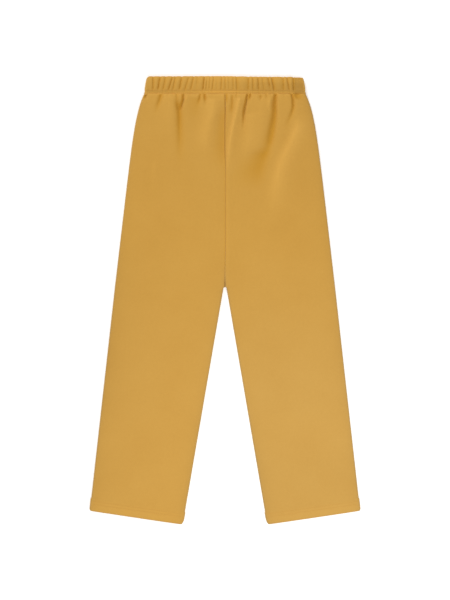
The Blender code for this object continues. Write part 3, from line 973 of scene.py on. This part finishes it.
def placeStitch(stitch, found):  # a copy that lies along the three points where it was felt for
    (first, _), (place, normal), (last, _) = found
    run = last - first
    run /= np.linalg.norm(run)
    out = normal - run * np.dot(normal, run)
    out /= np.linalg.norm(out)
    centre = (first + last) / 4 + place / 2 + out * stitching["rise"] * mm
    copy = stitch.copy()
    copy.data = stitch.data.copy()
    turned = copy.matrix_world.copy()
    for row, values in enumerate(np.column_stack([run, np.cross(out, run), out, centre])):
        turned[row] = values
    copy.matrix_world = turned
    bpy.context.scene.collection.objects.link(copy)
    return copy


def sewRow(stitch, cloth, line, fromAbove):  # copies of the stitch along a line on the cloth
    copies = []
    steps = np.linalg.norm(np.diff(line, axis=0), axis=1)
    along = np.concatenate([[0.0], np.cumsum(steps)])
    count = int(along[-1] // stitching["pitch"])
    reach = stitching["length"] * stitching["grip"]
    for turn in range(count):
        middle = (turn + 0.5) * along[-1] / count
        found = [
            onCloth(cloth, np.interp(at, along, line[:, 0]), np.interp(at, along, line[:, 1]), fromAbove)
            for at in (middle - reach, middle, middle + reach)
        ]
        if None not in found:
            copies.append(placeStitch(stitch, found))
    return copies


def joinPieces(name, copies):
    bpy.ops.object.select_all(action="DESELECT")
    for copy in copies:
        copy.select_set(True)
    bpy.context.view_layer.objects.active = copies[0]
    bpy.ops.object.join()
    bpy.ops.object.transform_apply(location=True, rotation=True, scale=True)
    joined = bpy.context.object
    joined.name = name
    joined.data.name = name
    return joined


def bandLine(depth):  # a row of the waistband's stitching
    half = bandHalf(depth) - stitching["endGap"]
    x = np.linspace(-half, half, stitching["bandPoints"])
    down = mix(bandTop(x), pants["bandDepth"], depth / pants["bandDepth"])
    return np.stack([x, pants["length"] / 2 - down], axis=-1)


def hemLine(side, height):  # a row of a hem's stitching
    depth = pants["length"] - height
    endDepth = sideDepth(depth)
    startX, endX = innerX(depth), sideX(endDepth)
    inset = stitching["endGap"] / (endX - startX)
    share = np.linspace(inset, 1 - inset, stitching["hemPoints"])
    down = mix(depth, endDepth, share)
    return np.stack([side * mix(startX, endX, share), pants["length"] / 2 - down], axis=-1)


fleece = {  # linear colours, and sizes in metres on the cloth's own map
    "base": (0.562, 0.300, 0.0535, 1),
    "shade": (0.507, 0.256, 0.038, 1),  # of the nap's flecks
    "light": (0.602, 0.336, 0.070, 1),
    "cloudShade": (0.545, 0.286, 0.049, 1),  # of the large soft patches
    "cloudLight": (0.577, 0.313, 0.058, 1),
    "flecks": 0.25,  # share of the flecks in the colour
    "cloudStops": (0.25, 0.5, 0.78),  # values of the noise that take the shade, the base and the light
    "fleckStops": (0.3, 0.62, 0.8),
    "foldShadeTint": (0.93, 0.85, 0.46, 1),  # the painted shade of the deepest fold, and the painted highlight of the highest crest
    "crestHighlightTint": (1.12, 1.14, 1.24, 1),
    "foldRange": (-3.2, 3.2),  # mm of relief
    # painted sheen and reflection: the colour is multiplied toward this where it is paler
    "paintedSheenTint": (0.94, 1.08, 1.78, 1),
    "paintedShadingStep": 0.05,  # how much darker one unit of painted shade is
    "strands": (0.95, 1.05),  # darkest and lightest hairs of the nap
    "wale": 0.00125,  # one column of knit loops
    "course": 0.00095,  # and one row
    "sway": 0.0012,  # how far the columns wander
    "loopShare": 0.3,  # height of the rows, where the columns have 1
    "knitBump": 0.00010,
    "fuzzBump": 0.00016,
    "pillShare": 1.6,  # height of the nap's clumps, where its hairs have 1
    "knitStrength": 0.7,
    "fuzzStrength": 0.8,
    "noises": {  # scale, detail and roughness
        "sway": (160.0, 1.0, 0.5),
        "nap": (1500.0, 2.0, 0.6),
        "pill": (260.0, 3.0, 0.6),
        "cloud": (14.0, 3.0, 0.55),
    },
    "casingShift": (0.31, 0.17, 0.0),  # the waistband is cut from another part of the cloth
    "noiseRange": (0.3, 0.7),  # the values that most of a noise lies between
    "roughness": (0.84, 0.97),
    "sheen": 0.30,
    "sheenRoughness": 0.45,
    "sheenTint": (1.0, 0.80, 0.42, 1),
    "specular": 0.22,
}
white = (1, 1, 1, 1)


def addNode(tree, kind, values=(), **settings):
    node = tree.nodes.new(kind)
    for setting, value in settings.items():
        setattr(node, setting, value)
    for socket, value in dict(values).items():
        if isinstance(value, bpy.types.NodeSocket):
            tree.links.new(value, node.inputs[socket])
        else:
            node.inputs[socket].default_value = value
    return node


def calculate(tree, operation, first, second=0.0):
    return addNode(tree, "ShaderNodeMath", {0: first, 1: second}, operation=operation).outputs[0]


def noise(tree, vector, scale, detail=3.0, roughness=0.5):
    values = {"Vector": vector, "Scale": scale, "Detail": detail, "Roughness": roughness}
    return addNode(tree, "ShaderNodeTexNoise", values).outputs["Fac"]


def ramp(tree, factor, stops):
    node = addNode(tree, "ShaderNodeValToRGB", {"Fac": factor})
    for element, (position, colour) in zip(node.color_ramp.elements, (stops[0], stops[-1])):
        element.position, element.color = position, colour
    for position, colour in stops[1:-1]:
        node.color_ramp.elements.new(position).color = colour
    return node.outputs["Color"]


def mapRange(tree, value, fromRange, toRange=(0.0, 1.0)):
    names = ("From Min", "From Max", "To Min", "To Max")
    values = {"Value": value, **dict(zip(names, (*fromRange, *toRange)))}
    return addNode(tree, "ShaderNodeMapRange", values).outputs["Result"]


def blend(tree, factor, first, second, way="MIX"):
    values = {0: factor, 6: first, 7: second}  # the sockets of a colour mix
    return addNode(tree, "ShaderNodeMix", values, data_type="RGBA", blend_type=way).outputs[2]


def clothShade(tree, name):  # one of the values that makeMesh writes for each point
    return addNode(tree, "ShaderNodeAttribute", attribute_name=name).outputs["Fac"]


def knitHeight(tree, place, look):  # columns of loops, each a row of small chevrons
    split = addNode(tree, "ShaderNodeSeparateXYZ", {"Vector": place})
    sway = calculate(tree, "MULTIPLY", noise(tree, place, *look["noises"]["sway"]), look["sway"])
    across = calculate(tree, "ADD", split.outputs["X"], sway)
    fromMiddle = calculate(tree, "PINGPONG", calculate(tree, "DIVIDE", across, look["wale"]), 0.5)
    courses = calculate(tree, "DIVIDE", split.outputs["Y"], look["course"])
    chevron = calculate(tree, "ADD", courses, fromMiddle)
    loops = calculate(tree, "SINE", calculate(tree, "MULTIPLY", chevron, 2 * math.pi))
    ribs = calculate(tree, "SINE", calculate(tree, "MULTIPLY", fromMiddle, math.pi))
    return calculate(tree, "ADD", calculate(tree, "MULTIPLY", loops, look["loopShare"]), ribs)


def fleeceColour(tree, nap, pill, cloud, look):  # patches and flecks, then painted light and shade, painted fold shade and highlight, and painted sheen
    clouds = (look["cloudShade"], look["base"], look["cloudLight"])
    patches = ramp(tree, cloud, tuple(zip(look["cloudStops"], clouds)))
    flecks = ramp(tree, pill, tuple(zip(look["fleckStops"], (look["shade"], look["base"], look["light"]))))
    both = blend(tree, look["flecks"], patches, flecks)
    strands = mapRange(tree, nap, look["noiseRange"], look["strands"])
    paintedShading = calculate(tree, "MULTIPLY", clothShade(tree, "paintedShading"), look["paintedShadingStep"])
    value = calculate(tree, "MULTIPLY", calculate(tree, "ADD", paintedShading, 1.0), strands)
    paintedShade = addNode(tree, "ShaderNodeHueSaturation", {"Color": both, "Value": value}).outputs["Color"]
    low, high = look["foldRange"]
    relief = mapRange(tree, clothShade(tree, "paintedFoldShade"), (low, high))
    level = -low / (high - low)
    foldShadeTint = ramp(tree, relief, ((0.0, look["foldShadeTint"]), (level, white), (1.0, look["crestHighlightTint"])))
    shaded = blend(tree, 1.0, paintedShade, foldShadeTint, "MULTIPLY")
    return blend(tree, clothShade(tree, "paintedSheen"), shaded, look["paintedSheenTint"], "MULTIPLY")


def makeFleece(name, look, shift):  # brushed cotton knit: rows of loops under a soft nap
    material = bpy.data.materials.new(name)
    material.use_nodes = True
    tree = material.node_tree
    shader = tree.nodes["Principled BSDF"]
    clothMap = addNode(tree, "ShaderNodeUVMap", uv_map="cloth").outputs["UV"]
    place = addNode(tree, "ShaderNodeMapping", {"Vector": clothMap, "Location": shift}).outputs["Vector"]
    nap, pill, cloud = (noise(tree, place, *look["noises"][kind]) for kind in ("nap", "pill", "cloud"))
    tree.links.new(fleeceColour(tree, nap, pill, cloud, look), shader.inputs["Base Color"])
    rough = mapRange(tree, pill, look["noiseRange"], look["roughness"])
    tree.links.new(rough, shader.inputs["Roughness"])
    bump = {"Height": knitHeight(tree, place, look), "Distance": look["knitBump"]}
    bump["Strength"] = look["knitStrength"]
    knit = addNode(tree, "ShaderNodeBump", bump).outputs["Normal"]
    fuzz = calculate(tree, "ADD", nap, calculate(tree, "MULTIPLY", pill, look["pillShare"]))
    bump = {"Height": fuzz, "Distance": look["fuzzBump"], "Strength": look["fuzzStrength"], "Normal": knit}
    tree.links.new(addNode(tree, "ShaderNodeBump", bump).outputs["Normal"], shader.inputs["Normal"])
    shader.inputs["Sheen Weight"].default_value = look["sheen"]
    shader.inputs["Sheen Roughness"].default_value = look["sheenRoughness"]
    shader.inputs["Sheen Tint"].default_value = look["sheenTint"]
    shader.inputs["Specular IOR Level"].default_value = look["specular"]
    return material


thread = {
    "colour": (0.560, 0.296, 0.052, 1),
    # painted shade: the thread is coloured darker in the grooves between its strands
    "groove": (0.450, 0.222, 0.032, 1),
    "twist": 0.00055,  # metres for one turn of the thread
    "strands": 3,
    "slant": 0.7,  # radians
    "unevenness": 0.6,
    "grooveStops": (0.15, 0.7),
    "bump": 0.00005,
    "bumpStrength": 0.6,
    "roughness": 0.62,
    "specular": 0.3,
}


def makeThread(name, look):  # twisted strands, read as slanting bands
    material = bpy.data.materials.new(name)
    material.use_nodes = True
    tree = material.node_tree
    shader = tree.nodes["Principled BSDF"]
    place = addNode(tree, "ShaderNodeTexCoord").outputs["Object"]
    turned = {"Vector": place, "Rotation": (0, 0, look["slant"])}
    slanted = addNode(tree, "ShaderNodeMapping", turned).outputs["Vector"]
    scale = 1 / (look["twist"] * look["strands"])
    wave = {"Vector": slanted, "Scale": scale, "Distortion": look["unevenness"]}
    strands = addNode(tree, "ShaderNodeTexWave", wave, wave_type="BANDS").outputs["Fac"]
    colour = ramp(tree, strands, tuple(zip(look["grooveStops"], (look["groove"], look["colour"]))))
    tree.links.new(colour, shader.inputs["Base Color"])
    bump = {"Height": strands, "Distance": look["bump"], "Strength": look["bumpStrength"]}
    tree.links.new(addNode(tree, "ShaderNodeBump", bump).outputs["Normal"], shader.inputs["Normal"])
    shader.inputs["Roughness"].default_value = look["roughness"]
    shader.inputs["Specular IOR Level"].default_value = look["specular"]
    return material


legPanels = (  # node, side of the centre seam, and whether it is a front
    ("front_left", 1, True),
    ("back_left", 1, False),
    ("front_right", -1, True),
    ("back_right", -1, False),
)
pieces = {}
fleeceMaterial = makeFleece("mustard_fleece", fleece, (0.0, 0.0, 0.0))
casingMaterial = makeFleece("mustard_casing", fleece, fleece["casingShift"])
for node, side, isFront in legPanels:
    pieces[node] = makePanel(node + "_cloth", side, isFront, fleeceMaterial)
    print("panel:", node, len(pieces[node].data.polygons), "faces")
pieces["waistband"] = makeWaistband("waistband_cloth", casingMaterial)
print("waistband:", len(pieces["waistband"].data.polygons), "faces")

bpy.context.view_layer.update()
stitch = makeStitch(makeThread("mustard_thread", thread))
bandStitches = []
for depth in band["rows"]:
    for fromAbove in (True, False):
        bandStitches += sewRow(stitch, pieces["waistband"], bandLine(depth), fromAbove)
seams = {"waistband": joinPieces("waistband_stitches", bandStitches)}
for node, side, isFront in legPanels:
    hemStitches = []
    for height in drape["hemChannels"]:
        hemStitches += sewRow(stitch, pieces[node], hemLine(side, height), isFront)
    seams[node] = joinPieces(node + "_hem_stitches", hemStitches)
bpy.data.objects.remove(stitch)
print("stitches:", {node: len(seam.data.polygons) for node, seam in seams.items()})

studio = {
    "floorSize": 60.0,
    "floorColour": (0.93, 0.93, 0.93, 1),
    "floorShade": 0.99,  # of its darker grain
    "grainScale": 3.0,
    "grainStops": (0.3, 0.7),
    "floorRoughness": 0.85,
    "floorGlow": 0.22,  # the white background is blown out in the photo
    "worldStrength": 0.603,
    "lens": 85.0,
    "sensor": 36.0,
    "frameHeight": 0.9368,  # metres of table that the frame's long side takes in
    "lookAt": (0.0, 0.0005, 0.006),
    "lights": {  # watts, size and place in metres
        "key": (22.5, 1.1, (-1.05, 1.82, 1.04)),
        "fill": (5.6, 0.9, (0.22, -0.53, 0.86)),
    },
}


def makeFloor():
    bpy.ops.object.select_all(action="DESELECT")
    bpy.ops.mesh.primitive_plane_add(size=studio["floorSize"], location=(0, 0, 0))
    floor = bpy.context.object
    floor.name = "floor"
    material = bpy.data.materials.new("pale_floor")
    material.use_nodes = True
    tree = material.node_tree
    shader = tree.nodes["Principled BSDF"]
    place = addNode(tree, "ShaderNodeTexCoord").outputs["Object"]
    grain = noise(tree, place, studio["grainScale"], 2.0)
    shade = tuple(value * studio["floorShade"] for value in studio["floorColour"][:3]) + (1,)
    colour = ramp(tree, grain, tuple(zip(studio["grainStops"], (shade, studio["floorColour"]))))
    tree.links.new(colour, shader.inputs["Base Color"])
    shader.inputs["Roughness"].default_value = studio["floorRoughness"]
    shader.inputs["Emission Color"].default_value = white
    shader.inputs["Emission Strength"].default_value = studio["floorGlow"]
    floor.data.materials.append(material)
    return floor


def aim(item, target):
    direction = np.array(target) - np.array(item.location)
    toward = item.location.copy()
    toward[:] = direction
    item.rotation_euler = toward.to_track_quat("-Z", "Y").to_euler()


def addLight(name, power, size, place):
    bpy.ops.object.light_add(type="AREA", location=place)
    light = bpy.context.object
    light.name = name
    light.data.energy = power
    light.data.shape = "DISK"
    light.data.size = size
    light.visible_camera = False
    aim(light, (0, 0, 0))
    return light


def makeStudio():
    scene = bpy.context.scene
    world = bpy.data.worlds.new("studio")
    world.use_nodes = True
    background = world.node_tree.nodes["Background"]
    background.inputs["Color"].default_value = white
    background.inputs["Strength"].default_value = studio["worldStrength"]
    scene.world = world
    for name, (power, size, place) in studio["lights"].items():
        addLight(name, power, size, place)
    distance = studio["frameHeight"] * studio["lens"] / studio["sensor"]
    x, y, z = studio["lookAt"]
    bpy.ops.object.camera_add(location=(x, y, z + distance), rotation=(0, 0, 0))
    camera = bpy.context.object
    camera.data.lens = studio["lens"]
    camera.data.sensor_width = studio["sensor"]
    scene.camera = camera
    scene.view_settings.view_transform = "Standard"


makeFloor()
makeStudio()
print("floor, lights and camera placed")

for node, piece in pieces.items():
    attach(piece, "root")
    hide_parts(node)
    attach(seams[node], "root")
